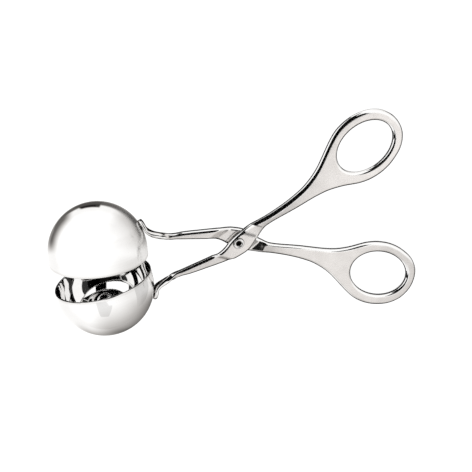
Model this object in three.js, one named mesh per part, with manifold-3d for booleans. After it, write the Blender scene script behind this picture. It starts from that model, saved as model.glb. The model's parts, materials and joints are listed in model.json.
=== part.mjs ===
// Meatball tongs: two pressed-steel scissor arms crossing at a rolled rivet,
// each carrying a thin spun bowl spot-welded to a twisted tab.
// Millimetres, +Z up, lying on a table: bowls and finger loops touch z = 0,
// +X runs from the bowls to the finger loops, +Y is the upper bowl's side.
import * as THREE from "three";
import { mergeVertices } from "three/addons/utils/BufferGeometryUtils.js";
import Module from "manifold-3d";

const wasm = await Module();
wasm.setup();

// ---------------------------------------------------------------- dimensions
const SHEET = 3.0; // arm sheet thickness
const EDGE_R = 1.25; // rounded edge of the arms
const PLATE_RISE = 1.65; // pivot plate mid-plane off the arm plane (front up, rear down)
const CLEAR = 0.3; // gap kept between pieces

const BOWL_R = 25; // bowl outer radius
const BOWL_WALL = 0.9;
const SKIRT = 4.8; // straight wall between the rim and the round part
const REACH = 71.05; // pivot to rim centre
const HALF_OPEN = THREE.MathUtils.degToRad(4.27); // each arm's angle from closed
const BOWL_DROP = -4.0; // bowl centre below the arm plane
const RIM_GAP = 0.2; // half the gap left at the rims when closed

const LOOP = { x: 72.95, y: 35.95, a: 16.1, b: 12.05, turn: 26.9 }; // finger hole
const TWIST_FROM = 1.0; // start of the quarter twist, along the strip
const TWIST_TO = 9.5; // end of it
const TAB_IN = 1.45; // tab edge above the arm plane after the twist
const TAB_OUT = 5.6; // tab edge below it
const TAB_SHEET = 1.9; // tab pressed thinner than the arm
const TAB_R = BOWL_R + CLEAR + TAB_SHEET / 2; // tab mid-surface round the bowl centre
const TAB_START = -14; // degrees round the bowl centre
const TAB_END = -27.6;

const RIVET_SHANK_R = 1.85;
const RIVET_RING_R = 2.75;
const RIVET_BORE_R = 1.45;
const RIVET_HEAD_R = 3.6;
const WELD_R = 1.2; // spot-weld nugget
const WELD_H = 0.85;
const WELD_AT = { inner: -17.2, outer: -24.2 }; // degrees round the bowl centre
const WELD_Z = -3.3;

// Distances from the pivot, along the crease normal, at which each ramp starts and ends
const CREASE = THREE.MathUtils.degToRad(62.6);
const RAMPS = {
  front: { left: [-6.6, -10.0], right: [6.0, 10.0] },
  rear: { left: [-5.7, -8.7], right: [8.6, 12.6] },
};
const REST_TILT = THREE.MathUtils.degToRad(9.69); // arm plane to the table

// ---------------------------------------------------------------- helpers
const solid = (geometry) => {
  const g = geometry.index ? geometry.toNonIndexed() : geometry.clone();
  for (const k of Object.keys(g.attributes)) if (k !== "position") g.deleteAttribute(k);
  const m = mergeVertices(g, 1e-4);
  return new wasm.Manifold(
    new wasm.Mesh({
      numProp: 3,
      vertProperties: new Float32Array(m.attributes.position.array),
      triVerts: new Uint32Array(m.index.array),
    }),
  );
};
const geometryOf = (manifold) => {
  const m = manifold.getMesh();
  const p = new Float32Array(m.numVert * 3);
  for (let i = 0; i < m.numVert; i++)
    p.set(m.vertProperties.subarray(i * m.numProp, i * m.numProp + 3), i * 3);
  const g = new THREE.BufferGeometry();
  g.setAttribute("position", new THREE.BufferAttribute(p, 3));
  g.setIndex(new THREE.BufferAttribute(new Uint32Array(m.triVerts), 1));
  g.computeVertexNormals();
  return g;
};
const smooth = (t) => (t <= 0 ? 0 : t >= 1 ? 1 : t * t * (3 - 2 * t));

// Cuts every triangle along the line f(x, y) = value, so the sheet can be bent there.
const scoreAlong = (geometry, f, values) => {
  let tris = [];
  const p = geometry.attributes.position;
  for (let i = 0; i < p.count; i += 3)
    tris.push([0, 1, 2].map((k) => [p.getX(i + k), p.getY(i + k), p.getZ(i + k)]));
  for (const value of values) {
    const next = [];
    for (const t of tris) {
      const d = t.map((v) => {
        const e = f(v[0], v[1]) - value;
        return Math.abs(e) < 2e-3 ? 0 : e;
      });
      if (d.every((e) => e >= 0) || d.every((e) => e <= 0)) {
        next.push(t);
        continue;
      }
      const low = [], high = [];
      for (let k = 0; k < 3; k++) {
        const a = t[k], b = t[(k + 1) % 3], da = d[k], db = d[(k + 1) % 3];
        if (da <= 0) low.push(a);
        if (da >= 0) high.push(a);
        if (da * db < 0) {
          const [u, v, du, dv] = da < 0 ? [a, b, da, db] : [b, a, db, da];
          const s = du / (du - dv);
          const c = [0, 1, 2].map((n) => u[n] + s * (v[n] - u[n]));
          low.push(c);
          high.push(c);
        }
      }
      for (const poly of [low, high])
        for (let k = 1; k + 1 < poly.length; k++) next.push([poly[0], poly[k], poly[k + 1]]);
    }
    tris = next;
  }
  const out = new THREE.BufferGeometry();
  out.setAttribute("position", new THREE.Float32BufferAttribute(tris.flat(2), 3));
  return out;
};

// ---------------------------------------------------------------- arm blank
// Edge of one arm from the strip's end, under the pivot, round the finger loop and back.
const EDGE = [
  [-30.78, -11.85], [-26.98, -11.8], [-23.98, -11.5], [-20.98, -11.15], [-17.98, -10.75],
  [-14.98, -10.4], [-11.97, -10], [-8.97, -9.6], [-5.96, -9.05], [-2.94, -8.31], [0.08, -7.32],
  [2.91, -6.24], [5.36, -4.88], [7.41, -3.11], [9.46, -1], [11.73, 1.15], [13.95, 2.86],
  [16.19, 4.2], [18.83, 5.37], [22.3, 6.61], [27.49, 8.26], [32.81, 10.02], [38.02, 12.02],
  [43.3, 14.06], [48.55, 15.74], [52.57, 16.6], [57.22, 17.05], [60.99, 17.07], [64.48, 16.88],
  [68.01, 16.79], [71.35, 17.12], [74.09, 17.65], [76.71, 18.49], [79.63, 19.67], [82.4, 21.23],
  [85.44, 23.45], [88.3, 26.3], [91.1, 29.8], [92.9, 33.4], [93.8, 37.4], [93.65, 40.8],
  [92.6, 44.3], [90.6, 47.9], [87.7, 50.9], [83.9, 53.3], [80.7, 54.3], [77.8, 54.75],
  [75, 54.75], [72, 54.3], [68.98, 53.55], [66.36, 52.6], [63.72, 51.28], [61, 49.53],
  [58.37, 47.33], [55.85, 44.42], [53.43, 40.91], [51.22, 37.41], [48.82, 33.52], [46.42, 29.93],
  [43.94, 26.89], [41.45, 24.36], [39.06, 22.22], [36.48, 20.28], [31.2, 17.13], [26.31, 14.64],
  [21.12, 12.34], [16.33, 10.44], [12.14, 9.09], [8.54, 8.04], [5.63, 7.09], [3.22, 6.08],
  [1, 4.93], [-1.51, 3.52], [-4.23, 1.5], [-6.93, -1.05], [-9.6, -2.93], [-12.47, -4.16],
  [-15.45, -5.01], [-20.74, -6.2], [-24.54, -7.05], [-28.53, -7.92], [-31.22, -8.58],
].map(([x, y]) => new THREE.Vector2(x, y));

// Middle line of the strip from its end to the tab, in the arm plane.
const bowlAxis = new THREE.Vector2(Math.sin(HALF_OPEN), -Math.cos(HALF_OPEN)); // rim to pole, front arm
const rimCentre = new THREE.Vector2(-Math.cos(HALF_OPEN), -Math.sin(HALF_OPEN)).multiplyScalar(REACH);
const bowlCentre = rimCentre.clone().addScaledVector(bowlAxis, SKIRT);
const round = (deg) => {
  const a = THREE.MathUtils.degToRad(deg);
  return new THREE.Vector3(bowlCentre.x + TAB_R * Math.cos(a), bowlCentre.y + TAB_R * Math.sin(a), 0);
};
const STRIP_END = new THREE.Vector2(-31, -10.2);
const ALONG = new THREE.Vector2(-Math.cos(0.14), -Math.sin(0.14));
const ACROSS = new THREE.Vector2(ALONG.y, -ALONG.x);
const spine = new THREE.CatmullRomCurve3(
  [
    new THREE.Vector3(-31, -10.2, 0).addScaledVector(new THREE.Vector3(ALONG.x, ALONG.y, 0), -3),
    new THREE.Vector3(-31, -10.2, 0),
    new THREE.Vector3(-34.2, -10.75, 0),
    new THREE.Vector3(-37.2, -11.7, 0),
    new THREE.Vector3(-40, -12.85, 0),
    new THREE.Vector3(-42.3, -13.95, 0),
    new THREE.Vector3(-43.8, -15.0, 0),
    round(TAB_START),
    round(TAB_START - 4),
    round(TAB_START - 8),
    round(TAB_END),
    round(TAB_END - 4),
  ],
  false,
  "centripetal",
);
const SAMPLES = 1200;
const spinePoints = spine.getPoints(SAMPLES);
const nearest = (target) => {
  let best = 0;
  spinePoints.forEach((p, i) => {
    if (p.distanceTo(target) < spinePoints[best].distanceTo(target)) best = i;
  });
  return best;
};
const first = nearest(new THREE.Vector3(-31, -10.2, 0));
const last = nearest(round(TAB_END));
const stations = [0];
for (let i = first + 1; i <= spinePoints.length - 1; i++)
  stations.push(stations.at(-1) + spinePoints[i].distanceTo(spinePoints[i - 1]));
const STRIP_LENGTH = stations[last - first];
const onSpine = (l) => {
  let i = 0;
  while (i < stations.length - 2 && stations[i + 1] < l) i++;
  const s = (l - stations[i]) / (stations[i + 1] - stations[i]);
  const a = spinePoints[first + i], b = spinePoints[first + i + 1];
  const before = spinePoints[Math.max(first + i - 6, 0)];
  const after = spinePoints[Math.min(first + i + 7, spinePoints.length - 1)];
  return {
    point: a.clone().lerp(b, s),
    tangent: after.clone().sub(before).normalize(),
  };
};

// Flat outline of the strip's free end: a narrow neck and a wide round-ended tab.
const NECK = 1.65;
const tabMid = (TAB_IN - TAB_OUT) / 2;
const tabHalf = (TAB_IN + TAB_OUT) / 2;
const freeEnd = [];
const STEP = 1.75; // spacing of the forming lines along the free end
const TIP = 4.6; // length of the tab's round end
const neckCount = Math.round((STRIP_LENGTH - TIP) / STEP);
const neckLines = [];
for (let i = 1; i < neckCount; i++) neckLines.push((i / neckCount) * (STRIP_LENGTH - TIP));
const widen = (l) => smooth((l - 9.5) / (STRIP_LENGTH - TIP - 9.5));
for (const l of neckLines) freeEnd.push([l, NECK + (TAB_IN - NECK) * widen(l)]);
for (let i = 0; i <= 10; i++) {
  const a = Math.PI / 2 - (i / 10) * Math.PI;
  freeEnd.push([STRIP_LENGTH - TIP + TIP * Math.cos(a), tabMid + tabHalf * Math.sin(a)]);
}
for (const l of neckLines.slice().reverse()) freeEnd.push([l, -NECK + (-TAB_OUT + NECK) * widen(l)]);
const blankPoint = ([l, w]) => STRIP_END.clone().addScaledVector(ALONG, l).addScaledVector(ACROSS, w);

const edgeCurve = new THREE.SplineCurve(EDGE);
const outline = [];
const EDGE_SAMPLES = 90;
for (let i = 0; i <= EDGE_SAMPLES; i++) outline.push(edgeCurve.getPointAt(i / EDGE_SAMPLES));
const blank = new THREE.Shape([...outline, ...freeEnd.map(blankPoint)]);
const hole = new THREE.Path();
hole.absellipse(LOOP.x, LOOP.y, LOOP.a, LOOP.b, 0, Math.PI * 2, true, THREE.MathUtils.degToRad(LOOP.turn));
blank.holes.push(new THREE.Path(hole.getPoints(34).slice(0, -1)));

// ---------------------------------------------------------------- arm
// The blank is pressed: creased beside the pivot, twisted a quarter turn and curled round the bowl.
const creaseNormal = new THREE.Vector2(Math.cos(CREASE), Math.sin(CREASE));
const makeArm = (ramps, rise) => {
  let g = new THREE.ExtrudeGeometry(blank, {
    depth: SHEET - 2 * EDGE_R,
    bevelEnabled: true,
    bevelThickness: EDGE_R,
    bevelSize: EDGE_R,
    bevelOffset: -EDGE_R,
    bevelSegments: 3,
    steps: 1,
  });
  g.translate(0, 0, -(SHEET - 2 * EDGE_R) / 2);
  g = g.index ? g.toNonIndexed() : g;
  const across = (x, y) => x * creaseNormal.x + y * creaseNormal.y;
  const steps = [];
  for (const [from, to] of [ramps.left, ramps.right])
    for (let i = 0; i <= 4; i++) steps.push(from + ((to - from) * i) / 4);
  g = scoreAlong(g, across, steps);
  const down = (x, y) => (x - STRIP_END.x) * ALONG.x + (y - STRIP_END.y) * ALONG.y;
  const lines = [0, ...neckLines];
  for (let l = STRIP_LENGTH - TIP; l < STRIP_LENGTH - 0.4; l += STEP) lines.push(l);
  g = scoreAlong(g, down, lines);
  const p = g.attributes.position;
  const v = new THREE.Vector3();
  for (let i = 0; i < p.count; i++) {
    v.fromBufferAttribute(p, i);
    const l = down(v.x, v.y);
    if (l > 0 && v.x < -20) {
      const w = (v.x - STRIP_END.x) * ACROSS.x + (v.y - STRIP_END.y) * ACROSS.y;
      const { point, tangent } = onSpine(l);
      const u = new THREE.Vector3(tangent.y, -tangent.x, 0);
      const z = new THREE.Vector3(0, 0, 1);
      const turn = (Math.PI / 2) * smooth((l - TWIST_FROM) / (TWIST_TO - TWIST_FROM));
      const wide = u.clone().multiplyScalar(Math.cos(turn)).addScaledVector(z, Math.sin(turn));
      const thick = z.clone().multiplyScalar(Math.cos(turn)).addScaledVector(u, -Math.sin(turn));
      const h = v.z * (1 + (TAB_SHEET / SHEET - 1) * widen(l));
      v.copy(point).addScaledVector(wide, w).addScaledVector(thick, h);
    } else {
      const s = across(v.x, v.y);
      const [from, to] = s < 0 ? ramps.left : ramps.right;
      v.z += rise * (1 - smooth((s - from) / (to - from)));
    }
    p.setXYZ(i, v.x, v.y, v.z);
  }
  return g;
};
const mirrored = (geometry) => {
  const p = geometry.attributes.position;
  const a = new Float32Array(p.count * 3);
  for (let i = 0; i < p.count; i += 3)
    [0, 2, 1].forEach((k, n) => a.set([p.getX(i + k), -p.getY(i + k), p.getZ(i + k)], (i + n) * 3));
  const g = new THREE.BufferGeometry();
  g.setAttribute("position", new THREE.BufferAttribute(a, 3));
  return g;
};

// ---------------------------------------------------------------- bowl, rivet, welds
const bowlGeometry = () => {
  const r = BOWL_R, q = BOWL_R - BOWL_WALL, lip = BOWL_WALL / 2;
  const pts = [];
  const N = 12;
  for (let i = 0; i <= N; i++) {
    const a = (Math.PI / 2) * (1 - i / N);
    pts.push(new THREE.Vector2(i === 0 ? 0 : q * Math.cos(a), SKIRT + q * Math.sin(a)));
  }
  for (let i = 0; i <= 4; i++) {
    const a = Math.PI + (i / 4) * Math.PI;
    pts.push(new THREE.Vector2(r - lip + lip * Math.cos(a), RIM_GAP + lip + lip * Math.sin(a)));
  }
  for (let i = 0; i <= N; i++) {
    const a = (Math.PI / 2) * (i / N);
    pts.push(new THREE.Vector2(i === N ? 0 : r * Math.cos(a), SKIRT + r * Math.sin(a)));
  }
  return new THREE.LatheGeometry(pts, 44);
};
const rivetGeometry = () => {
  const top = PLATE_RISE + SHEET / 2 + 0.2, low = -top;
  const pts = [
    [0, low - 1.15], [1.6, low - 1.08], [2.7, low - 0.85], [3.35, low - 0.5], [RIVET_HEAD_R, low - 0.15],
    [RIVET_HEAD_R - 0.15, low], [RIVET_SHANK_R, low], [RIVET_SHANK_R, top], [RIVET_RING_R - 0.25, top],
    [RIVET_RING_R, top + 0.25], [RIVET_RING_R - 0.1, top + 0.55], [RIVET_RING_R - 0.4, top + 0.76],
    [RIVET_RING_R - 0.75, top + 0.76], [RIVET_BORE_R + 0.18, top + 0.5], [RIVET_BORE_R, top + 0.1],
    [RIVET_BORE_R, 0.6], [0, 0.1],
  ].map(([x, y]) => new THREE.Vector2(x, y));
  return new THREE.LatheGeometry(pts, 28).rotateX(Math.PI / 2);
};
const weldAt = (deg, start, height, radius) => {
  const a = THREE.MathUtils.degToRad(deg);
  const c = new THREE.CylinderGeometry(radius, radius, height, 18).rotateZ(a - Math.PI / 2);
  const mid = start + height / 2;
  return c.translate(bowlCentre.x + Math.cos(a) * mid, bowlCentre.y + Math.sin(a) * mid, WELD_Z);
};

// ---------------------------------------------------------------- assembly
const steel = (name, color, roughness) => {
  const m = new THREE.MeshStandardMaterial({ color, roughness, metalness: 1 });
  m.name = name;
  return m;
};
const root = new THREE.Group();
const tongs = new THREE.Group();
root.add(tongs);
const add = (name, geometry, material) => {
  const m = new THREE.Mesh(geometry, material);
  m.name = name;
  tongs.add(m);
  return m;
};

const shankHole = new THREE.CylinderGeometry(RIVET_SHANK_R + CLEAR, RIVET_SHANK_R + CLEAR, 12, 28).rotateX(Math.PI / 2);
const cutArm = (g, flip) => {
  let s = solid(g).subtract(solid(shankHole));
  for (const deg of Object.values(WELD_AT)) {
    const pocket = weldAt(deg, BOWL_R - 0.4, WELD_H + 0.7, WELD_R + CLEAR);
    s = s.subtract(solid(flip ? mirrored(pocket.toNonIndexed()) : pocket));
  }
  return geometryOf(s);
};
add("front_arm", cutArm(makeArm(RAMPS.front, PLATE_RISE), false), steel("satin_steel", 0xd9d8d6, 0.3));
add("rear_arm", cutArm(mirrored(makeArm(RAMPS.rear, -PLATE_RISE)), true), steel("satin_steel_rear", 0xd9d8d6, 0.3));

const lower = bowlGeometry();
lower.rotateX(Math.PI).rotateZ(HALF_OPEN).translate(rimCentre.x, rimCentre.y, BOWL_DROP);
add("lower_bowl", geometryOf(solid(lower)), steel("polished_steel", 0xe6e6e8, 0.06));
add("upper_bowl", geometryOf(solid(mirrored(lower.toNonIndexed()))), steel("polished_steel_upper", 0xe6e6e8, 0.06));
add("pivot_rivet", geometryOf(solid(rivetGeometry())), steel("rivet_steel", 0xcfcfd1, 0.22));
for (const [spot, deg] of Object.entries(WELD_AT)) {
  const nugget = weldAt(deg, BOWL_R + 0.04, WELD_H, WELD_R);
  add("lower_weld_" + spot, nugget, steel("weld_steel_" + spot, 0xb9b6b2, 0.45));
  add("upper_weld_" + spot, mirrored(nugget.toNonIndexed()), steel("weld_steel_upper_" + spot, 0xb9b6b2, 0.45));
}

// Laid on the table, with the origin under the middle of its bounding box.
tongs.rotation.y = REST_TILT;
root.updateMatrixWorld(true);
const box = new THREE.Box3().setFromObject(root, true);
const middle = box.getCenter(new THREE.Vector3());
tongs.position.set(-middle.x, -middle.y, -box.min.z);
root.updateMatrixWorld(true);

export default root;
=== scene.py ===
import json
import math

import bpy
import numpy as np
from mathutils import Matrix, Vector
from mathutils.geometry import delaunay_2d_cdt


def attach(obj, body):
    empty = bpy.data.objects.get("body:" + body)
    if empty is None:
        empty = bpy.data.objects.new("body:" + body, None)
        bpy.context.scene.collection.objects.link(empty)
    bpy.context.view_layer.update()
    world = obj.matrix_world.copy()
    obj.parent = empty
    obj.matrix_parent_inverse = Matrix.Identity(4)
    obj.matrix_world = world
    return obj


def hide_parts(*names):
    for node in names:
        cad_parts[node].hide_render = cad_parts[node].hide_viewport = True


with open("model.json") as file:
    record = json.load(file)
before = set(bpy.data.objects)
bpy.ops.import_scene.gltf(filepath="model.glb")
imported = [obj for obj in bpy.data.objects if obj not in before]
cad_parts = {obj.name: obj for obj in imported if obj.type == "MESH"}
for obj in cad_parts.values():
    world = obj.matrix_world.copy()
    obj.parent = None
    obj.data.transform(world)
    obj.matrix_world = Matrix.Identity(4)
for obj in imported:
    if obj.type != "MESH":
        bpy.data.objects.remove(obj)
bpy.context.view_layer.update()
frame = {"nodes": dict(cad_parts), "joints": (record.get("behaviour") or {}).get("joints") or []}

# ------------------------------------------------------------------ dimensions, millimetres
# The arms, bowls and rivet are drawn in the arms' own plane, with the rivet at the
# origin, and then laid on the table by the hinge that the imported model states.
SHEET = 3.0
PLATE_RISE = 1.65
BOWL_R = 25.0
BOWL_WALL = 0.9
SKIRT = 4.8
REACH = 71.05
HALF_OPEN = math.radians(4.27)
BOWL_DROP = -4.0
RIM_GAP = 0.2
LOOP = dict(x=72.95, y=35.95, a=16.1, b=12.05, turn=math.radians(26.9))
TWIST_FROM, TWIST_TO = 1.0, 9.5
TAB_IN, TAB_OUT, TAB_SHEET = 1.45, 5.6, 1.9
TAB_R = BOWL_R + 0.3 + TAB_SHEET / 2
TAB_START, TAB_END = -14.0, -27.6
NECK, TIP = 1.65, 4.6
PIN_HOLE = 1.93
CREASE = math.radians(62.6)
RAMPS = {
    "front": {"left": (-8.4, -11.0, 0.2, 0.2), "right": (4.4, 11.2, 0.40, 0.07), "skew": 0.0},
    "rear": {"left": (-7.2, -11.8, 0.2, 0.08), "right": (8.4, 12.1, 0.08, 0.14), "skew": 0.72},
}
EDGE = [
    (-30.78, -11.85), (-26.98, -11.8), (-23.98, -11.5), (-20.98, -11.15), (-17.98, -10.75),
    (-14.98, -10.4), (-11.97, -10), (-8.97, -9.6), (-5.96, -9.05), (-2.94, -8.31), (0.08, -7.32),
    (2.91, -6.24), (5.36, -4.88), (7.41, -3.11), (9.46, -1), (11.73, 1.15), (13.95, 2.86),
    (16.19, 4.2), (18.83, 5.37), (22.3, 6.61), (27.49, 8.26), (32.81, 10.02), (38.02, 12.02),
    (43.3, 14.06), (48.55, 15.74), (52.57, 16.6), (57.22, 17.05), (60.99, 17.07), (64.48, 16.88),
    (68.01, 16.79), (71.35, 17.12), (74.09, 17.65), (76.71, 18.49), (79.63, 19.67),
    (82.4, 21.23), (85.44, 23.45), (88.3, 26.3), (91.1, 29.8), (92.9, 33.4), (93.8, 37.4),
    (93.65, 40.8), (92.6, 44.3), (90.6, 47.9), (87.7, 50.9), (83.9, 53.3), (80.7, 54.3),
    (77.8, 54.75), (75, 54.75), (72, 54.3), (68.98, 53.55), (66.36, 52.6), (63.72, 51.28),
    (61, 49.53), (58.37, 47.33), (55.85, 44.42), (53.43, 40.91), (51.22, 37.41), (48.82, 33.52),
    (46.42, 29.93), (43.94, 26.89), (41.45, 24.36), (39.06, 22.22), (36.48, 20.28),
    (31.2, 17.13), (26.31, 14.64), (21.12, 12.34), (16.33, 10.44), (12.14, 9.09), (8.54, 8.04),
    (5.63, 7.09), (3.22, 6.08), (1, 4.93), (-1.51, 3.52), (-4.23, 1.5), (-6.93, -1.05),
    (-9.6, -2.93), (-12.47, -4.16), (-15.45, -5.01), (-20.74, -6.2), (-24.54, -7.05),
    (-28.53, -7.92), (-31.22, -8.58),
]

hinge = frame["joints"][0]
PIVOT = np.array(hinge["pos_m"], float)
AXIS = np.array(hinge["axis"], float)
AXIS /= np.linalg.norm(AXIS)
TILT_S, TILT_C = AXIS[0], AXIS[2]


def to_table(p):
    """Arm-plane millimetres to the row frame in metres."""
    p = np.asarray(p, float) * 0.001
    x = p[:, 0] * TILT_C + p[:, 2] * TILT_S
    z = -p[:, 0] * TILT_S + p[:, 2] * TILT_C
    return np.c_[x, p[:, 1], z] + PIVOT


def smooth(t):
    t = np.clip(t, 0.0, 1.0)
    return t * t * (3 - 2 * t)


# ------------------------------------------------------------------ curves
def spline_2d(points, per=40):
    pts = np.array(points, float)
    n = len(pts)
    t = np.linspace(0, 1, per, endpoint=False)[:, None]
    out = []
    for k in range(n - 1):
        p0, p1, p2, p3 = pts[max(k - 1, 0)], pts[k], pts[k + 1], pts[min(k + 2, n - 1)]
        v0, v1 = (p2 - p0) / 2, (p3 - p1) / 2
        out.append(p1 + v0 * t + (-3 * p1 + 3 * p2 - 2 * v0 - v1) * t**2 + (2 * p1 - 2 * p2 + v0 + v1) * t**3)
    out.append(pts[-1:])
    return np.concatenate(out)


def spline_3d(points, count):
    """Centripetal curve through the points."""
    pts = np.array(points, float)
    n = len(pts)
    ext = np.vstack([2 * pts[0] - pts[1], pts, 2 * pts[-1] - pts[-2]])
    out = []
    for i in range(count + 1):
        p = (n - 1) * i / count
        k = min(int(p), n - 2)
        w = p - k
        x0, x1, x2, x3 = ext[k], ext[k + 1], ext[k + 2], ext[k + 3]
        d0, d1, d2 = (np.linalg.norm(b - a) ** 0.5 for a, b in ((x0, x1), (x1, x2), (x2, x3)))
        t1 = ((x1 - x0) / d0 - (x2 - x0) / (d0 + d1) + (x2 - x1) / d1) * d1
        t2 = ((x2 - x1) / d1 - (x3 - x1) / (d1 + d2) + (x3 - x2) / d2) * d1
        out.append(x1 + t1 * w + (-3 * x1 + 3 * x2 - 2 * t1 - t2) * w**2 + (2 * x1 - 2 * x2 + t1 + t2) * w**3)
    return np.array(out)


def resample_closed(poly, step):
    loop = np.vstack([poly, poly[:1]])
    d = np.r_[0, np.cumsum(np.linalg.norm(np.diff(loop, axis=0), axis=1))]
    n = max(12, int(round(d[-1] / step)))
    s = np.linspace(0, d[-1], n, endpoint=False)
    return np.c_[np.interp(s, d, loop[:, 0]), np.interp(s, d, loop[:, 1])], d[-1]


def blur_closed(values, length, sigma):
    v = np.asarray(values, float)
    v = v.reshape(len(v), -1)
    f = np.fft.fftfreq(len(v), d=length / len(v))
    k = np.exp(-2 * (math.pi * f * sigma) ** 2)[:, None]
    return np.real(np.fft.ifft(np.fft.fft(v, axis=0) * k, axis=0))


# ------------------------------------------------------------------ the arm's blank
along = np.array([-math.cos(0.14), -math.sin(0.14)])
across = np.array([along[1], -along[0]])
strip_end = np.array([-31.0, -10.2])
bowl_axis = np.array([math.sin(HALF_OPEN), -math.cos(HALF_OPEN)])
rim_centre = REACH * np.array([-math.cos(HALF_OPEN), -math.sin(HALF_OPEN)])
bowl_centre = rim_centre + SKIRT * bowl_axis


def round_bowl(deg):
    a = math.radians(deg)
    return [bowl_centre[0] + TAB_R * math.cos(a), bowl_centre[1] + TAB_R * math.sin(a), 0]


spine = spline_3d(
    [
        [strip_end[0] - 3 * along[0], strip_end[1] - 3 * along[1], 0], [-31, -10.2, 0], [-34.2, -10.75, 0],
        [-37.2, -11.7, 0], [-40, -12.85, 0], [-42.3, -13.95, 0], [-43.8, -15.0, 0],
        round_bowl(TAB_START), round_bowl(TAB_START - 4), round_bowl(TAB_START - 8),
        round_bowl(TAB_END), round_bowl(TAB_END - 4),
    ],
    1200,
)
spine_first = int(np.argmin(np.linalg.norm(spine - np.array([-31, -10.2, 0]), axis=1)))
spine_last = int(np.argmin(np.linalg.norm(spine - np.array(round_bowl(TAB_END)), axis=1)))
spine_s = np.r_[0, np.cumsum(np.linalg.norm(np.diff(spine[spine_first:], axis=0), axis=1))]
STRIP_LENGTH = spine_s[spine_last - spine_first]
spine_t = np.array([spine[min(i + 14, len(spine) - 1)] - spine[max(i - 14, 0)] for i in range(len(spine))])
spine_t /= np.linalg.norm(spine_t, axis=1)[:, None]
spine, spine_t = spine[spine_first:], spine_t[spine_first:]


def widen(l):
    return smooth((l - 9.5) / (STRIP_LENGTH - TIP - 9.5))


def blank_outline():
    l = np.linspace(0.2, STRIP_LENGTH - TIP, 160)
    a = np.linspace(math.pi / 2, -math.pi / 2, 90)
    mid, half = (TAB_IN - TAB_OUT) / 2, (TAB_IN + TAB_OUT) / 2
    end = np.vstack([
        np.c_[l, NECK + (TAB_IN - NECK) * widen(l)],
        np.c_[STRIP_LENGTH - TIP + TIP * np.cos(a), mid + half * np.sin(a)][1:-1],
        np.c_[l, -NECK - (TAB_OUT - NECK) * widen(l)][::-1],
    ])
    poly = np.vstack([spline_2d(EDGE), strip_end + end[:, :1] * along + end[:, 1:] * across])
    dense, length = resample_closed(poly, 0.12)
    dense = blur_closed(dense, length, 0.75)
    return dense, length


def inward(poly):
    """Unit normals to the left of the direction of travel."""
    t = np.roll(poly, -1, axis=0) - np.roll(poly, 1, axis=0)
    t /= np.linalg.norm(t, axis=1)[:, None]
    return np.c_[-t[:, 1], t[:, 0]]


def across_width(points, normals, loops):
    """Distance from each point along its normal to the next edge of the sheet."""
    best = np.full(len(points), 1e3)
    for loop in loops:
        a, b = loop, np.roll(loop, -1, axis=0)
        e = b - a
        for i, (p, n) in enumerate(zip(points, normals)):
            det = n[0] * -e[:, 1] + n[1] * e[:, 0]
            det = np.where(np.abs(det) < 1e-9, 1e-9, det)
            q = a - p
            dist = (q[:, 0] * -e[:, 1] + q[:, 1] * e[:, 0]) / det
            part = (n[0] * q[:, 1] - n[1] * q[:, 0]) / det
            ok = (part >= 0) & (part <= 1) & (dist > 0.5)
            if ok.any():
                best[i] = min(best[i], dist[ok].min())
    return best


def inside(points, loops):
    """Even-odd test of points against closed loops."""
    odd = np.zeros(len(points), bool)
    x, y = points[:, 0], points[:, 1]
    for loop in loops:
        a, b = loop, np.roll(loop, -1, axis=0)
        for (ax, ay), (bx, by) in zip(a, b):
            if ay == by:
                continue
            hit = (ay > y) != (by > y)
            odd ^= hit & (x < (bx - ax) * (y - ay) / (by - ay) + ax)
    return odd


def gap_to(points, loops):
    best = np.full(len(points), 1e3)
    for loop in loops:
        for i in range(0, len(loop), 64):
            d = np.linalg.norm(points[:, None, :] - loop[None, i:i + 64, :], axis=2).min(axis=1)
            best = np.minimum(best, d)
    return best


EDGE_STEP = 0.55
dense_outline, outline_length = blank_outline()
outline, _ = resample_closed(dense_outline, EDGE_STEP)
outline_in = inward(outline)
ang = np.linspace(0, 2 * math.pi, 400, endpoint=False)
ell = np.c_[LOOP["a"] * np.cos(ang), LOOP["b"] * np.sin(ang)]
ct, st = math.cos(LOOP["turn"]), math.sin(LOOP["turn"])
ell = np.c_[LOOP["x"] + ell[:, 0] * ct - ell[:, 1] * st, LOOP["y"] + ell[:, 0] * st + ell[:, 1] * ct]
loop_hole, _ = resample_closed(ell[::-1], EDGE_STEP)
loop_in = inward(loop_hole)
pin = np.linspace(0, 2 * math.pi, 40, endpoint=False)[::-1]
pin_hole = PIN_HOLE * np.c_[np.cos(pin), np.sin(pin)]
pin_in = inward(pin_hole)


outline_across = across_width(outline, outline_in, [outline, loop_hole])
hole_across = across_width(loop_hole, loop_in, [outline])
pin_a = np.full(len(pin_hole), 0.06)
STATIONS = [-46, -40, -33, -29, -14, -6, 6, 13, 20, 36, 50, 62]
# In-plane half-axis of the dressed edge at those stations, on the blank's two long edges.
# The two arms show opposite faces of the same pressing, so they are not dressed alike.
EDGES = {
    "front": {"upper": [0.75, 0.8, 1.3, 1.8, 1.9, 1.7, 1.8, 2.6, 2.9, 2.8, 2.5, 2.3],
              "lower": [0.75, 0.8, 1.0, 1.15, 1.2, 1.2, 1.2, 1.25, 1.3, 1.3, 1.3, 1.3]},
    "rear": {"upper": [0.75, 0.8, 1.0, 1.1, 1.1, 1.1, 1.15, 1.2, 1.2, 1.25, 1.3, 1.3],
             "lower": [0.75, 0.8, 1.6, 2.1, 2.3, 1.9, 1.8, 1.9, 2.0, 2.1, 2.2, 2.2]},
}
# How far the dressing took the long lower edge of each blank back from the cut line
TRIM = {
    "front": ([6, 12, 16, 30, 38, 46, 56], [0, 0.5, 0.7, 0.7, 0.55, 0.3, 0]),
    "rear": ([4, 10, 34, 44], [0, 0.2, 0.2, 0]),
}
FULL_SIDE = np.array([-0.39, 0.92])   # edges that face this way are left full, the opposite ones are chamfered
WALL = 0.3                            # half of the flat left between the two chamfers


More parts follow.
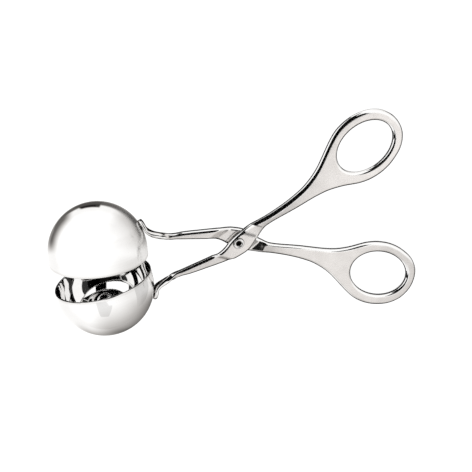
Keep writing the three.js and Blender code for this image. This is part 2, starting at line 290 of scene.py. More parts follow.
def fullness(normals, flip):
    """1 on the full edges, 0 on the chamfered ones."""
    side = FULL_SIDE * np.array([1, -1 if flip else 1])
    return smooth((-(normals @ side) + 0.3) / 0.6)


def edge_radius(kind, flip):
    """Half-axis of the dressed edge and its fullness, along the outline and round the finger hole."""
    edges = EDGES[kind]
    upper = outline_in[:, 1] < 0
    high, low = (np.interp(outline[:, 0], STATIONS, edges[k]) for k in ("upper", "lower"))
    fit = np.minimum(1.0, 0.9 * outline_across / (high + low))
    a = np.where(upper, high, low) * np.where(outline[:, 0] < 58, fit, 1.0)
    a = np.minimum(np.minimum(a, 0.55 * outline_across), np.linalg.norm(outline, axis=1) - PIN_HOLE - 0.2)
    a = np.where(outline[:, 0] > 58, np.minimum(a, 0.44 * outline_across), a)
    full = fullness(outline_in, flip)
    a = np.where(outline[:, 0] > 58, 1.3 + (a - 1.3) * full, a)
    hole_full = fullness(loop_in, flip)
    hole_a = np.minimum(1.25 + 0.65 * hole_full, 0.44 * hole_across)
    return (blur_closed(a, outline_length, 1.6)[:, 0], blur_closed(full, outline_length, 1.6)[:, 0], hole_a, hole_full)


RINGS = 18
ring_t = np.linspace(0, 1, RINGS + 1)
ring_psi = math.pi * (0.6 * ring_t + 0.4 * 0.5 * (1 - np.cos(math.pi * ring_t)))


def ring_shape(k, full):
    """How far out (0 to 1) and how high (1 to -1) ring k lies, for edges between chamfered and full."""
    out, up = abs(math.sin(ring_psi[k])), math.cos(ring_psi[k])
    if k in (0, RINGS):
        out = 0.0
    power = 2 / (1.3 + 1.2 * full)
    wall = 2 * WALL / SHEET * (1 - full)
    level = np.sign(up) * min(1.0, abs(up) / abs(math.cos(ring_psi[RINGS // 2 - 1])))
    return out ** power, np.sign(up) * abs(up) ** power * (1 - wall) + level * wall


def crease_grid():
    """Points inside the sheet: dense where it is bent, open where it is flat."""
    n = np.array([math.cos(CREASE), math.sin(CREASE)])
    t = np.array([-n[1], n[0]])
    s_lines = [np.arange(-75, -12.4, 1.0), np.arange(-12.4, -4.6, 0.28), np.arange(-4.6, 4.9, 0.7),
               np.arange(4.9, 13.6, 0.28), np.arange(13.6, 110, 1.0)]
    pts = []
    for j, s in enumerate(np.concatenate(s_lines)):
        tt = np.arange(-110, 110, 0.9) + (0.45 if j % 2 else 0)
        pts.append(s * n + tt[:, None] * t)
    pts = np.concatenate(pts)
    pts = pts[(pts[:, 0] - strip_end[0]) * along[0] + (pts[:, 1] - strip_end[1]) * along[1] < -0.3]
    ll, ww = np.meshgrid(np.arange(0.0, STRIP_LENGTH, 0.45), np.arange(-6, 3, 0.45))
    strip = strip_end + ll.reshape(-1, 1) * along + ww.reshape(-1, 1) * across
    return np.vstack([pts, strip])


def blank_mesh(kind, flip):
    """Flat blank with dressed edges: points (x, y, h), distance past the face's edge, quads and triangles."""
    edge_a, edge_full, hole_a, hole_full = edge_radius(kind, flip)
    trim = np.interp(outline[:, 0], *TRIM[kind], left=0, right=0) * (outline_in[:, 1] > 0)
    trim = blur_closed(trim, outline_length, 1.2)
    none = np.ones(len(pin_hole))
    loops = [(outline + outline_in * trim, outline_in, edge_a, edge_full), (loop_hole, loop_in, hole_a, hole_full),
             (pin_hole, pin_in, pin_a, none)]
    verts, past, faces, first = [], [], [], []
    for pts, nrm, a, full in loops:
        base = sum(len(v) for v in verts)
        first.append(base)
        n = len(pts)
        for k in range(RINGS + 1):
            out, up = ring_shape(k, full)
            d = a * (1 - out)
            verts.append(np.c_[pts + nrm * d[:, None], SHEET / 2 * up])
            past.append(a - d)
        for k in range(RINGS):
            r0, r1 = base + k * n, base + (k + 1) * n
            for i in range(n):
                j = (i + 1) % n
                faces.append((r0 + i, r1 + i, r1 + j, r0 + j))
    rims = [pts + nrm * a[:, None] for pts, nrm, a, _ in loops]
    grid = crease_grid()
    grid = grid[inside(grid, rims)]
    gap = gap_to(grid, rims)
    grid, gap = grid[gap > 0.32], gap[gap > 0.32]
    co = [Vector(p) for p in np.vstack(rims + [grid])]
    edges, start, index = [], 0, []
    for (pts, _, _, _), f in zip(loops, first):
        n = len(pts)
        edges += [(start + i, start + (i + 1) % n) for i in range(n)]
        index += [(f + i, f + RINGS * n + i) for i in range(n)]
        start += n
    out = delaunay_2d_cdt(co, edges, [], 0, 1e-6)
    tri_co, tris, source = np.array([v[:] for v in out[0]]), out[2], out[3]
    mid = np.array([tri_co[list(t)].mean(axis=0) for t in tris])
    keep = inside(mid, rims)
    base = sum(len(v) for v in verts)
    m = len(grid)
    verts += [np.c_[grid, np.full(m, SHEET / 2)], np.c_[grid, np.full(m, -SHEET / 2)]]
    past += [-gap, -gap]
    index += [(base + i, base + m + i) for i in range(m)]
    for t, ok in zip(tris, keep):
        if not ok:
            continue
        a, b, c = (index[source[i][0]] for i in t)
        p, q, r = tri_co[list(t)]
        if (q[0] - p[0]) * (r[1] - p[1]) - (q[1] - p[1]) * (r[0] - p[0]) < 0:
            b, c = c, b
        faces.append((a[0], b[0], c[0]))
        faces.append((a[1], c[1], b[1]))
    return np.vstack(verts), np.concatenate(past), faces


def bend(t, near, far):
    """A straight ramp from 0 to 1 with round bends of different lengths at its ends."""
    t = np.clip(t, 0, 1)
    m = 1 / (1 - (near + far) / 2)
    return np.where(t < near, m * t * t / (2 * near),
                    np.where(t > 1 - far, 1 - m * (1 - t) ** 2 / (2 * far), m * (t - near / 2)))


def press(points, ramps, rise):
    """Creases the blank beside the rivet, twists its free end and curls it round the bowl."""
    x, y, h = points.T
    out = points.copy()
    s = x * math.cos(CREASE) + y * math.sin(CREASE)
    lo, hi = ramps["left"], ramps["right"]
    v = y * math.cos(CREASE) - x * math.sin(CREASE)
    stop = hi[1] + ramps["skew"] * np.clip(v + 8.0, -1.0, 4.2)
    t = np.where(s < 0, (s - lo[0]) / (lo[1] - lo[0]), (s - hi[0]) / (stop - hi[0]))
    out[:, 2] = h + rise * (1 - np.where(s < 0, bend(t, *lo[2:]), bend(t, *hi[2:])))
    l = (x - strip_end[0]) * along[0] + (y - strip_end[1]) * along[1]
    m = (l > 0) & (x < -20)
    l, w, h = l[m], (x[m] - strip_end[0]) * across[0] + (y[m] - strip_end[1]) * across[1], h[m]
    p = np.c_[[np.interp(l, spine_s, spine[:, k]) for k in range(3)]].T
    d = np.c_[[np.interp(l, spine_s, spine_t[:, k]) for k in range(3)]].T
    u = np.c_[d[:, 1], -d[:, 0], np.zeros(len(d))]
    z = np.array([[0, 0, 1.0]])
    turn = (math.pi / 2 * smooth((l - TWIST_FROM) / (TWIST_TO - TWIST_FROM)))[:, None]
    wide = u * np.cos(turn) + z * np.sin(turn)
    thick = z * np.cos(turn) - u * np.sin(turn)
    h = h * (1 + (TAB_SHEET / SHEET - 1) * widen(l))
    out[m] = p + wide * w[:, None] + thick * h[:, None]
    return out


# ------------------------------------------------------------------ meshes
def make_piece(name, verts_mm, faces, attributes, body, node):
    mesh = bpy.data.meshes.new(name)
    mesh.from_pydata(to_table(verts_mm).tolist(), [], faces)
    mesh.validate()
    for key, data in attributes.items():
        data = np.asarray(data, np.float32)
        if data.ndim == 1:
            mesh.attributes.new(key, "FLOAT", "POINT").data.foreach_set("value", data)
        else:
            mesh.attributes.new(key, "FLOAT_VECTOR", "POINT").data.foreach_set("vector", data.ravel())
    mesh.polygons.foreach_set("use_smooth", np.ones(len(mesh.polygons), bool))
    mesh.update()
    obj = bpy.data.objects.new(name, mesh)
    bpy.context.scene.collection.objects.link(obj)
    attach(obj, body)
    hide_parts(node)
    return obj


# Painted light and shade along each arm: how bright the satin face is made along its length, standing in for the bands
# of light, shade and dark reflection on it
ARM_PAINTED_LIGHT = {
    "front": ([-47, -14, -4, 9, 15, 26, 36, 50, 70, 94], [0.90, 0.92, 1.03, 1.04, 0.73, 0.79, 0.95, 1.09, 1.15, 1.15]),
    "rear": ([-47, -14, -4, 12, 16, 20, 26, 40, 62, 80, 94], [0.92, 0.98, 1.0, 0.74, 0.72, 0.88, 0.99, 1.06, 1.04, 0.94, 0.90]),
}


def arm(name, kind, rise, flip, body, node):
    blank, past, faces = blank_mesh(kind, flip)
    p = press(blank, RAMPS[kind], rise)
    flat = blank.copy()
    if flip:
        p[:, 1] *= -1
        faces = [tuple(reversed(f)) for f in faces]
        flat += np.array([300.0, 70.0, 0.0])
    tone = np.interp(blank[:, 0], *ARM_PAINTED_LIGHT[kind])
    if kind == "rear":
        s = blank[:, 0] * math.cos(CREASE) + blank[:, 1] * math.sin(CREASE)
        v = blank[:, 1] * math.cos(CREASE) - blank[:, 0] * math.sin(CREASE)
        stop = RAMPS[kind]["right"][1] + RAMPS[kind]["skew"] * np.clip(v + 8.0, -1.0, 4.2)
        # Painted shade on the rear plate beside the front arm's edge, where the front arm overhangs it
        tone *= 1 - 0.45 * smooth((s - 3.0) / 2.0) * smooth((7.9 - s) / 0.3)
        # Painted highlight along the bend at the foot of the rear right ramp
        bright = smooth((s - 7.75) / 0.15) * smooth((8.65 - s) / 0.2)
        tone += bright * (1.3 - tone)
        # Painted dark reflection on the facet of the rear right ramp
        tone *= 1 - 0.5 * smooth((s - 8.5) / 0.2) * smooth((stop - 0.2 - s) / 0.5)
    return make_piece(name, p, faces, {"flat": flat, "past": past, "tone": tone}, body, node)


def lathe(profile, centre, axis, turns, start):
    """Body of revolution of (radius, height) points; a point on the axis becomes one vertex."""
    axis = np.array(axis, float) / np.linalg.norm(axis)
    e1 = np.array(start, float)
    e1 -= axis * (e1 @ axis)
    e1 /= np.linalg.norm(e1)
    e2 = np.cross(axis, e1)
    verts, rows, faces, along_p, turn_p = [], [], [], [], []
    length = np.r_[0, np.cumsum(np.linalg.norm(np.diff(profile, axis=0), axis=1))]
    for (r, h), s in zip(profile, length):
        if r < 1e-6:
            rows.append([len(verts)])
            verts.append(centre + axis * h)
            along_p.append(s)
            turn_p.append(0.0)
            continue
        rows.append(list(range(len(verts), len(verts) + turns)))
        for i in range(turns):
            a = 2 * math.pi * i / turns
            verts.append(centre + axis * h + r * (math.cos(a) * e1 + math.sin(a) * e2))
            along_p.append(s)
            turn_p.append(a)
    for a, b in zip(rows, rows[1:]):
        for i in range(turns):
            j = (i + 1) % turns
            if len(a) == 1:
                faces.append((a[0], b[j], b[i]))
            elif len(b) == 1:
                faces.append((a[i], a[j], b[0]))
            else:
                faces.append((a[i], a[j], b[j], b[i]))
    return np.array(verts), faces, np.array(along_p), np.array(turn_p)


def bowl(name, side, body, node):
    r, q, lip = BOWL_R, BOWL_R - BOWL_WALL, BOWL_WALL / 2
    n = 40
    a = np.linspace(math.pi / 2, 0, n + 1)
    inner = np.c_[q * np.cos(a), SKIRT + q * np.sin(a)]
    inner[0, 0] = 0
    drop = np.linspace(SKIRT, RIM_GAP + lip, 6)[1:-1]
    b = np.linspace(math.pi, 2 * math.pi, 11)
    roll = np.c_[r - lip + lip * np.cos(b), RIM_GAP + lip + lip * np.sin(b)]
    outer = np.c_[r * np.cos(a[::-1]), SKIRT + r * np.sin(a[::-1])]
    outer[-1, 0] = 0
    profile = np.vstack([inner, np.c_[np.full(4, q), drop], roll, np.c_[np.full(4, r), drop[::-1]], outer])
    axis = np.array([bowl_axis[0], bowl_axis[1], 0.0])
    centre = np.array([rim_centre[0], rim_centre[1], BOWL_DROP])
    verts, faces, s, turn = lathe(profile, centre, axis, 144, (math.cos(HALF_OPEN), math.sin(HALF_OPEN), 0))
    rim_s = s[-1] / 2
    tab = np.array(round_bowl((TAB_START + TAB_END) / 2)) + np.array([0, 0, -2.0])
    halo = smooth((26 - np.linalg.norm(verts - tab, axis=1)) / 16) * (s > rim_s) * (1.0 if side > 0 else 0.3)
    if side > 0:
        verts[:, 1] *= -1
        faces = [tuple(reversed(f)) for f in faces]
    spin = np.c_[np.abs(s - rim_s), np.cos(turn) * 20, np.sin(turn) * 20]
    return make_piece(name, verts, faces, {"spin": spin, "rim": np.abs(s - rim_s), "halo": halo}, body, node)


def rivet(name, body, node):
    top = PLATE_RISE + SHEET / 2 + 0.2
    low = -top
    head = [(3.6 * math.sin(t), low - 1.15 * math.cos(t)) for t in np.linspace(0, 1.44, 14)]
    head += [(3.55, low - 0.04), (3.45, low), (2.2, low), (1.85, low)]
    shank = [(1.85, h) for h in np.linspace(low, top, 8)[1:]]
    ring = [(1.95, top), (2.2, top)]
    ring += [(2.13 + 0.62 * math.cos(t), top + 0.38 + 0.38 * math.sin(t)) for t in np.linspace(-1.4, 4.4, 26)]
    bore = [(1.45, h) for h in np.linspace(top + 0.02, 0.9, 8)]
    bore += [(1.4, 0.65), (1.2, 0.42), (0.8, 0.25), (0.4, 0.17), (0.0, 0.15)]
    head[0] = (0.0, head[0][1])
    profile = np.array(head + shank + ring + bore)
    verts, faces, s, turn = lathe(profile, np.zeros(3), (0, 0, 1), 64, (1, 0, 0))
    radius = np.hypot(verts[:, 0], verts[:, 1])
    # Mask of painted shade: darker deeper in the bore, and at the outer foot of the rolled ring
    recess_shade_mask = np.clip((top + 0.1 - verts[:, 2]) / 2.0, 0, 1) * (radius < 1.5) * (verts[:, 2] > 0)
    recess_shade_mask = np.maximum(recess_shade_mask, 0.4 * smooth((radius - 2.5) / 0.2) * (verts[:, 2] > top))
    return make_piece(name, verts, faces, {"flat": verts, "recess_shade_mask": recess_shade_mask}, body, node)


front_arm = arm("front_arm_sheet", "front", PLATE_RISE, False, "front_half", "front_arm")
rear_arm = arm("rear_arm_sheet", "rear", -PLATE_RISE, True, "rear_half", "rear_arm")
lower_bowl = bowl("lower_bowl_spun", -1, "front_half", "lower_bowl")
upper_bowl = bowl("upper_bowl_spun", 1, "rear_half", "upper_bowl")
pivot_rivet = rivet("pivot_rivet_rolled", "front_half", "pivot_rivet")


# ------------------------------------------------------------------ materials
class Graph:
    """Short calls for building a node tree."""

    def __init__(self, tree):
        self.tree, self.nodes, self.links = tree, tree.nodes, tree.links
        tree.nodes.clear()

    def put(self, socket, value):
        if isinstance(value, bpy.types.NodeSocket):
            self.links.new(value, socket)
        else:
            socket.default_value = value

    def attribute(self, name, out):
        n = self.nodes.new("ShaderNodeAttribute")
        n.attribute_name = name
        return n.outputs[out]

    def math(self, op, a, b=0.0, clamp=False):
        n = self.nodes.new("ShaderNodeMath")
        n.operation, n.use_clamp = op, clamp
        self.put(n.inputs[0], a)
        self.put(n.inputs[1], b)
        return n.outputs[0]

    def dot(self, vector, axis):
        n = self.nodes.new("ShaderNodeVectorMath")
        n.operation = "DOT_PRODUCT"
        self.put(n.inputs[0], vector)
        n.inputs[1].default_value = tuple(axis)
        return n.outputs["Value"]

    def scale(self, vector, factors, rotate=(0, 0, 0)):
        n = self.nodes.new("ShaderNodeMapping")
        self.put(n.inputs["Vector"], vector)
        n.inputs["Scale"].default_value = factors
        n.inputs["Rotation"].default_value = rotate
        return n.outputs[0]

    def noise(self, vector, scale, detail=2.0, rough=0.5, warp=0.0):
        n = self.nodes.new("ShaderNodeTexNoise")
        self.put(n.inputs["Vector"], vector)
        n.inputs["Scale"].default_value = scale
        n.inputs["Detail"].default_value = detail
        n.inputs["Roughness"].default_value = rough
        n.inputs["Distortion"].default_value = warp
        return n.outputs["Fac"]

    def ramp(self, value, lo, hi, out_lo=0.0, out_hi=1.0, kind="SMOOTHSTEP"):
        n = self.nodes.new("ShaderNodeMapRange")
        n.interpolation_type = kind
        self.put(n.inputs["Value"], value)
        for key, v in (("From Min", lo), ("From Max", hi), ("To Min", out_lo), ("To Max", out_hi)):
            n.inputs[key].default_value = v
        return n.outputs["Result"]

    def mix(self, fac, a, b):
        n = self.nodes.new("ShaderNodeMix")
        n.data_type = "RGBA"
        self.put(n.inputs[0], fac)
        self.put(n.inputs[6], a)
        self.put(n.inputs[7], b)
        return n.outputs[2]

    def product(self, *terms):
        out = terms[0]
        for t in terms[1:]:
            out = self.math("MULTIPLY", out, t)
        return out

    def tint(self, color, amount):
        n = self.nodes.new("ShaderNodeVectorMath")
        n.operation = "SCALE"
        self.put(n.inputs[0], color)
        self.put(n.inputs["Scale"], amount)
        return n.outputs[0]

    def bump(self, height, strength, distance):
        n = self.nodes.new("ShaderNodeBump")
        n.inputs["Strength"].default_value = strength
        n.inputs["Distance"].default_value = distance
        self.put(n.inputs["Height"], height)
        return n.outputs[0]

    def steel(self, color, roughness, normal=None):
        n = self.nodes.new("ShaderNodeBsdfPrincipled")
        n.inputs["Metallic"].default_value = 1.0
        self.put(n.inputs["Base Color"], color)
        self.put(n.inputs["Roughness"], roughness)
        if normal is not None:
            self.put(n.inputs["Normal"], normal)
        out = self.nodes.new("ShaderNodeOutputMaterial")
        self.links.new(n.outputs[0], out.inputs[0])


def new_material(name):
    m = bpy.data.materials.new(name)
    m.use_nodes = True
    return m, Graph(m.node_tree)


def satin_steel(name):
    """Tumbled satin sheet: fine lengthwise grain on the faces, rubbed bright along the edges, with painted light and
    shade along each arm and painted shade round the rivet.
    """
    m, g = new_material(name)
    flat = g.attribute("flat", "Vector")
    past = g.attribute("past", "Fac")
    cloud = g.noise(flat, 0.16, 3.0, 0.55)
    grain = g.noise(g.scale(flat, (0.5, 4.5, 1.0), (0, 0, -0.42)), 1.0, 4.0, 0.65)
    speck = g.noise(flat, 5.5, 2.0, 0.6)
    hair = g.noise(g.scale(flat, (0.10, 2.6, 1.0), (0, 0, 0.5)), 1.0, 1.0, 0.4, 0.4)
    scratch = g.ramp(g.math("ABSOLUTE", g.math("SUBTRACT", hair, 0.5)), 0.0, 0.012, 1.0, 0.0)
    rubbed = g.ramp(g.math("ADD", past, g.math("MULTIPLY", g.math("SUBTRACT", cloud, 0.5), 0.7)), -0.05, 0.9)
    tone = g.math("ADD", g.math("MULTIPLY", cloud, 0.55), g.math("MULTIPLY", grain, 0.45))
    face = g.mix(g.ramp(tone, 0.3, 0.7), (0.652, 0.626, 0.607, 1), (0.734, 0.708, 0.689, 1))
    # The tone attribute scales the face colour with painted light and shade along the arm
    color = g.mix(rubbed, g.tint(face, g.attribute("tone", "Fac")), (0.88, 0.876, 0.87, 1))
    # Painted shade: a dark ring on the plate round the rivet's rolled ring, where the ring meets the plate
    fx, fy = g.dot(flat, (1, 0, 0)), g.dot(flat, (0, 1, 0))
    pin_r = g.math("SQRT", g.math("ADD", g.math("MULTIPLY", fx, fx), g.math("MULTIPLY", fy, fy)))
    rivet_crevice_shade = g.ramp(g.math("ADD", pin_r, g.math("MULTIPLY", g.math("SUBTRACT", speck, 0.5), 0.3)), 2.85, 3.2, 0.8, 0.0)
    color = g.mix(rivet_crevice_shade, color, (0.10, 0.095, 0.09, 1))
    rough = g.math("ADD", g.ramp(rubbed, 0, 1, 0.20, 0.07, "LINEAR"),
                   g.math("MULTIPLY", g.math("ADD", g.math("SUBTRACT", speck, 0.5), g.math("MULTIPLY", scratch, 0.5)), 0.06))
    height = g.math("ADD", g.math("MULTIPLY", grain, 0.7), g.math("MULTIPLY", speck, 0.3))
    g.steel(color, rough, g.bump(height, 0.05, 0.00004))
    return m


def polished_steel(name):
    """Mirror-polished spinning: faint rings from the wheel, soft smears, a rubbed lip, duller near the weld."""
    m, g = new_material(name)
    spin = g.attribute("spin", "Vector")
    rim = g.attribute("rim", "Fac")
    rings = g.noise(g.scale(spin, (3.2, 0.012, 0.012)), 1.0, 3.0, 0.6)
    smear = g.noise(g.scale(spin, (0.09, 0.05, 0.05)), 1.0, 3.0, 0.55, 0.6)
    lip = g.ramp(rim, 0.35, 1.5, 1.0, 0.0)
    tone = g.math("ADD", g.math("MULTIPLY", rings, 0.35), g.math("MULTIPLY", smear, 0.65))
    color = g.mix(g.ramp(tone, 0.3, 0.7), (0.885, 0.88, 0.875, 1), (0.93, 0.928, 0.925, 1))
    color = g.mix(lip, color, (0.80, 0.79, 0.78, 1))
    rough = g.math("ADD", g.ramp(tone, 0.3, 0.7, 0.022, 0.055), g.math("MULTIPLY", lip, 0.09))
    rough = g.math("ADD", rough, g.math("MULTIPLY", g.attribute("halo", "Fac"), 0.24))
    g.steel(color, rough, g.bump(rings, 0.02, 0.00003))
    return m


def rivet_steel(name):
    """Bright rolled ring with tool marks round it and a dull bore; painted shade darkens the bore and the ring's outer
    foot.
    """
    m, g = new_material(name)
    flat = g.attribute("flat", "Vector")
    recess_shade_mask = g.attribute("recess_shade_mask", "Fac")
    marks = g.noise(g.scale(flat, (1.6, 1.6, 5.0)), 1.0, 3.0, 0.6)
    fine = g.noise(flat, 4.0, 3.0, 0.6)
    color = g.mix(g.ramp(marks, 0.3, 0.7), (0.70, 0.69, 0.68, 1), (0.84, 0.835, 0.83, 1))
    # Painted shade in the bore and round the ring's foot, darker where deeper
    painted_recess_shade = g.ramp(g.math("ADD", recess_shade_mask, g.math("MULTIPLY", g.math("SUBTRACT", fine, 0.5), 0.3)), 0.05, 0.55)
    color = g.mix(painted_recess_shade, color, (0.05, 0.047, 0.044, 1))
    rough = g.math("ADD", g.ramp(fine, 0.3, 0.7, 0.12, 0.20), g.math("MULTIPLY", painted_recess_shade, 0.3))
    g.steel(color, rough, g.bump(fine, 0.08, 0.00005))
    return m


def weld_steel(name):
    """Fused nugget: dull, with straw and blue heat tint."""
    m, g = new_material(name)
    where = g.nodes.new("ShaderNodeTexCoord").outputs["Object"]
    tint = g.noise(where, 700.0, 3.0, 0.6, 0.5)
    pits = g.noise(where, 2600.0, 2.0, 0.6)
    color = g.mix(g.ramp(tint, 0.35, 0.65), (0.50, 0.44, 0.36, 1), (0.46, 0.48, 0.52, 1))
    g.steel(color, g.ramp(pits, 0.3, 0.7, 0.38, 0.55), g.bump(pits, 0.4, 0.0001))
    return m


finish = {
    "satin_steel": satin_steel("satin_steel_finish"),
    "polished_steel": polished_steel("polished_steel_finish"),
    "rivet_steel": rivet_steel("rivet_steel_finish"),
    "weld_steel": weld_steel("weld_steel_finish"),
}
for piece, slot in ((front_arm, "satin_steel"), (rear_arm, "satin_steel"), (lower_bowl, "polished_steel"),
                    (upper_bowl, "polished_steel"), (pivot_rivet, "rivet_steel")):
    piece.data.materials.append(finish[slot])
for name, node in frame["nodes"].items():
    if "weld" in name:
        for slot in node.material_slots:
            slot.material = finish["weld_steel"]

# ------------------------------------------------------------------ camera
RIGHT = Vector((0.98785, -0.14000, 0.06799)).normalized()
BACK = Vector((-0.00870, 0.38650, 0.92225)).normalized()
UP = BACK.cross(RIGHT).normalized()
RIGHT = UP.cross(BACK)
lens = bpy.data.cameras.new("camera")
lens.lens, lens.sensor_width, lens.sensor_fit = 92.12, 36.0, "HORIZONTAL"
lens.shift_x, lens.shift_y = 0.00137, 0.00503
lens.clip_start, lens.clip_end = 0.01, 50.0
camera = bpy.data.objects.new("camera", lens)
bpy.context.scene.collection.objects.link(camera)
place = Matrix((RIGHT, UP, BACK)).transposed().to_4x4()
place.translation = (-0.00469, 0.24080, 0.58764)
camera.matrix_world = place
bpy.context.scene.camera = camera
bpy.context.scene.view_settings.view_transform = "Standard"

# ------------------------------------------------------------------ studio
# A white tent, darker low on the right and behind the work, with cards round the lens and under the table.
TENT = 1.17


def tent_light(g, ray):
    """Brightness of the tent in one direction."""
    dr, du, dv = g.dot(ray, RIGHT), g.dot(ray, UP), g.dot(ray, BACK)
    level = g.math("SQRT", g.math("MAXIMUM", g.math("SUBTRACT", 1.0, g.math("MULTIPLY", dv, dv)), 0.0001))

    def facing(degrees):
        a = math.radians(degrees)
        lean = g.math("ADD", g.math("MULTIPLY", dr, math.cos(a)), g.math("MULTIPLY", du, math.sin(a)))
        return g.math("DIVIDE", lean, level)

    def line(value, at_zero, slope):
        return g.math("ADD", g.math("MULTIPLY", value, slope), at_zero)

    def lack(value):
        return g.math("SUBTRACT", 1.0, g.math("MINIMUM", value, 1.0))

    # the side away from the lamps, low on the right, and weaker fall-offs high on the right and below
    low_right = g.product(g.ramp(facing(-57), 0.48, 0.96), lack(line(dv, 0.64, 0.5)))
    high_right = g.product(g.ramp(facing(33), 0.72, 0.96), lack(line(dv, 0.76, 0.30)))
    bottom = g.product(g.ramp(facing(-105), 0.84, 0.98), g.ramp(dv, -0.3, -1.1), 0.72)
    far = g.product(g.ramp(dv, 0.0, -0.35, 0.0, 0.10), g.ramp(facing(-40), 0.2, 0.8, 1.0, 0.0))
    # the dark room behind the tent's far edge, soft at both ends, with a black doorway in the middle
    band = g.product(g.ramp(dv, -0.55, -0.69), g.ramp(du, 0.02, 0.25), g.ramp(dr, 0.1, 0.3, 0.88, 0.95))
    door = g.product(g.ramp(g.math("ADD", dv, line(dr, 0.0, -0.14)), -0.365, -0.485),
                     g.ramp(g.math("ABSOLUTE", line(dr, 0.27, 1.0)), 0.20, 0.15),
                     g.ramp(du, 0.2, 0.4), g.ramp(dv, -0.60, -0.72, 0.985, 0.92))
    left = g.product(g.ramp(dv, 0.0, -0.60), g.ramp(facing(158), 0.88, 0.98), g.ramp(dv, -0.62, -0.80, 0.86, 0.70))
    right = g.product(g.ramp(dv, -0.38, -0.77), g.ramp(dr, 0.50, 0.74), g.ramp(du, 0.08, 0.40), 0.88)
    room = g.math("MAXIMUM", g.math("MAXIMUM", band, door), g.math("MAXIMUM", left, right))
    room = g.product(room, g.ramp(dv, -0.84, -1.0, 1.0, 0.75))
    light = g.product(*(g.math("SUBTRACT", 1.0, v) for v in (low_right, high_right, bottom, far, room)))
    return g.math("MULTIPLY", light, TENT), g.mix(light, (1.0, 0.945, 0.895, 1), (1.0, 0.998, 0.994, 1))


world = bpy.data.worlds.new("tent")
bpy.context.scene.world = world
world.use_nodes = True
g = Graph(world.node_tree)
back = g.nodes.new("ShaderNodeBackground")
light, hue = tent_light(g, g.nodes.new("ShaderNodeTexCoord").outputs["Generated"])
g.put(back.inputs["Strength"], light)
g.put(back.inputs["Color"], hue)
plain = g.nodes.new("ShaderNodeBackground")
plain.inputs["Color"].default_value = (1, 1, 1, 1)
pick = g.nodes.new("ShaderNodeMixShader")
g.links.new(g.nodes.new("ShaderNodeLightPath").outputs["Is Camera Ray"], pick.inputs[0])
g.links.new(back.outputs[0], pick.inputs[1])
g.links.new(plain.outputs[0], pick.inputs[2])
g.links.new(pick.outputs[0], g.nodes.new("ShaderNodeOutputWorld").inputs[0])


def card(name, verts, faces, receivers, clear=0.0, strength=1.0, fade=None):
    """Dark card or scrim in the tent. The pieces that it is linked to see the tent's own light in its place."""
    mesh = bpy.data.meshes.new(name)
    mesh.from_pydata([tuple(v) for v in verts], [], faces)
    obj = bpy.data.objects.new(name, mesh)
    bpy.context.scene.collection.objects.link(obj)
    m = bpy.data.materials.new(name)
    m.use_nodes = True
    g = Graph(m.node_tree)
    where = g.nodes.new("ShaderNodeNewGeometry").outputs["Position"]
    unit = g.nodes.new("ShaderNodeVectorMath")
    unit.operation = "NORMALIZE"
    g.links.new(where, unit.inputs[0])
    opaque = 1.0 - clear
    if fade is not None:
        axis, start, stop = fade
        opaque = g.ramp(g.dot(where, axis), start, stop, 0.0, 1.0 - clear)
    thin = g.nodes.new("ShaderNodeBsdfTransparent")
    g.put(thin.inputs["Color"], g.math("SUBTRACT", 1.0, opaque))
    e = g.nodes.new("ShaderNodeEmission")
    light, hue = tent_light(g, unit.outputs[0])
    g.put(e.inputs["Strength"], g.product(light, opaque, strength))
    g.put(e.inputs["Color"], hue)
    both = g.nodes.new("ShaderNodeAddShader")
    g.links.new(e.outputs[0], both.inputs[0])
    g.links.new(thin.outputs[0], both.inputs[1])
    g.links.new(both.outputs[0], g.nodes.new("ShaderNodeOutputMaterial").inputs[0])
    mesh.materials.append(m)
    obj.visible_camera = obj.visible_diffuse = obj.visible_shadow = False
    obj.visible_transmission = obj.visible_volume_scatter = False
    group = bpy.data.collections.new(name + "_lights")
    for piece in receivers:
        group.objects.link(piece)
    obj.light_linking.receiver_collection = group
    return obj


def flat_card(name, centre, across_by, up_by, corners, receivers, **more):
    card(name, [centre + across_by * x + up_by * y for x, y in corners], [tuple(range(len(corners)))], receivers, **more)


both_bowls = [upper_bowl, lower_bowl]
arms = [front_arm, rear_arm, pivot_rivet]
# in front, round the lens: dark for the arms, for the inside of the lower bowl, or for both
flat_card("arm_card_left", BACK * 0.62, RIGHT, UP, [(-0.26, -0.43), (-0.04, -0.43), (-0.04, 0.24), (-0.26, 0.24)], both_bowls)
flat_card("arm_card_right", BACK * 0.62, RIGHT, UP,
          [(0.28, -0.43), (0.42, -0.43), (0.48, -0.34), (0.48, -0.22), (0.37, -0.04), (0.33, 0.03), (0.28, 0.08)], both_bowls)
flat_card("lens_card", BACK * 0.62, RIGHT, UP,
          [(-0.26, 0.24), (-0.04, 0.24), (-0.04, -0.43), (0.28, -0.43), (0.28, 0.08), (0.14, 0.22), (0.06, 0.95), (-0.38, 0.95)],
          [upper_bowl])
flat_card("high_card", BACK * 0.62, RIGHT, UP,
          [(-0.92, 0.24), (-0.26, 0.24), (-0.38, 0.95), (0.06, 0.95), (0.14, 0.22), (0.28, 0.08), (0.28, 0.15), (1.25, 0.67),
           (1.25, 1.8), (-0.92, 1.8)], arms + [upper_bowl])
flat_card("low_card", BACK * 0.62, RIGHT, UP, [(-0.55, -0.66), (0.24, -0.66), (0.24, -0.43), (-0.55, -0.43)], both_bowls)
flat_card("operator_card", BACK * 0.62, RIGHT, UP, [(-0.25, -1.9), (0.25, -1.9), (0.25, -0.66), (-0.25, -0.66)], [upper_bowl],
          clear=0.8)
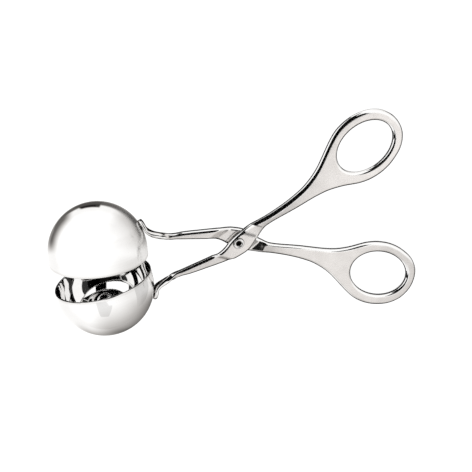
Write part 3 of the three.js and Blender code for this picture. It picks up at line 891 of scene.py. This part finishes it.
# at the sides and above
flat_card("left_card", RIGHT * -0.9, UP, BACK,
          [(-0.1, -0.4), (-0.3, 0.45), (-0.8, 1.1), (-1.3, 1.1), (-1.3, 0.5), (-0.6, -0.4)], both_bowls)
flat_card("far_left_card", RIGHT * -1.2, UP, BACK, [(-0.32, -1.8), (1.8, -1.8), (1.8, 0.8), (-0.32, 0.8)],
          arms + [upper_bowl], clear=0.03)
flat_card("far_right_card", RIGHT * 1.25, UP, BACK, [(0.25, -1.8), (1.8, -1.8), (1.8, 0.62), (0.25, 0.62)],
          arms + [upper_bowl], clear=0.03)
flat_card("right_scrim", RIGHT * 0.7, UP, BACK, [(0.2, 0.45), (-0.42, -0.06), (-1.05, -0.6), (-1.05, -1.0), (0.2, -1.0)],
          arms + [upper_bowl], clear=0.75, fade=(UP, -0.62, -0.15))
# below the table's edge: dark for the arms, and on its upper side for the inside of the lower bowl too
ring, rows = 96, np.linspace(-0.02, -math.pi / 2 + 0.01, 14)
dome = [Vector((math.cos(e) * math.cos(2 * math.pi * i / ring), math.cos(e) * math.sin(2 * math.pi * i / ring), math.sin(e))) * 0.9
        for e in rows for i in range(ring)]
quads = [(k * ring + i, k * ring + (i + 1) % ring, (k + 1) * ring + (i + 1) % ring, (k + 1) * ring + i)
         for k in range(len(rows) - 1) for i in range(ring)]
sides = {"low": [], "high": [], "top": []}
for quad in quads:
    c = sum((dome[i] for i in quad), Vector()) / 4
    turn = math.degrees(math.atan2(c.dot(UP), c.dot(RIGHT)))
    sides["top" if 45 < turn < 108 else "high" if turn > 11.3 or turn < -164.9 else "low"].append(quad)
card("under_card_low", dome, sides["low"], both_bowls, clear=0.03)
card("under_card_high", dome, sides["high"], [upper_bowl], clear=0.06)
card("under_card_top", dome, sides["top"], [upper_bowl, front_arm], clear=0.06)

floor_mesh = bpy.data.meshes.new("floor")
floor_mesh.from_pydata([(-20, -20, 0), (20, -20, 0), (20, 20, 0), (-20, 20, 0)], [], [(0, 1, 2, 3)])
floor = bpy.data.objects.new("floor", floor_mesh)
floor.location.z = -0.0001
bpy.context.scene.collection.objects.link(floor)
floor.visible_glossy = False
m = bpy.data.materials.new("floor")
m.use_nodes = True
g = Graph(m.node_tree)
paper = g.nodes.new("ShaderNodeBsdfDiffuse")
paper.inputs["Color"].default_value = (0.24, 0.24, 0.24, 1)
glow = g.nodes.new("ShaderNodeEmission")
glow.inputs["Strength"].default_value = 0.90
both = g.nodes.new("ShaderNodeAddShader")
g.links.new(paper.outputs[0], both.inputs[0])
g.links.new(glow.outputs[0], both.inputs[1])
g.links.new(both.outputs[0], g.nodes.new("ShaderNodeOutputMaterial").inputs[0])
floor_mesh.materials.append(m)
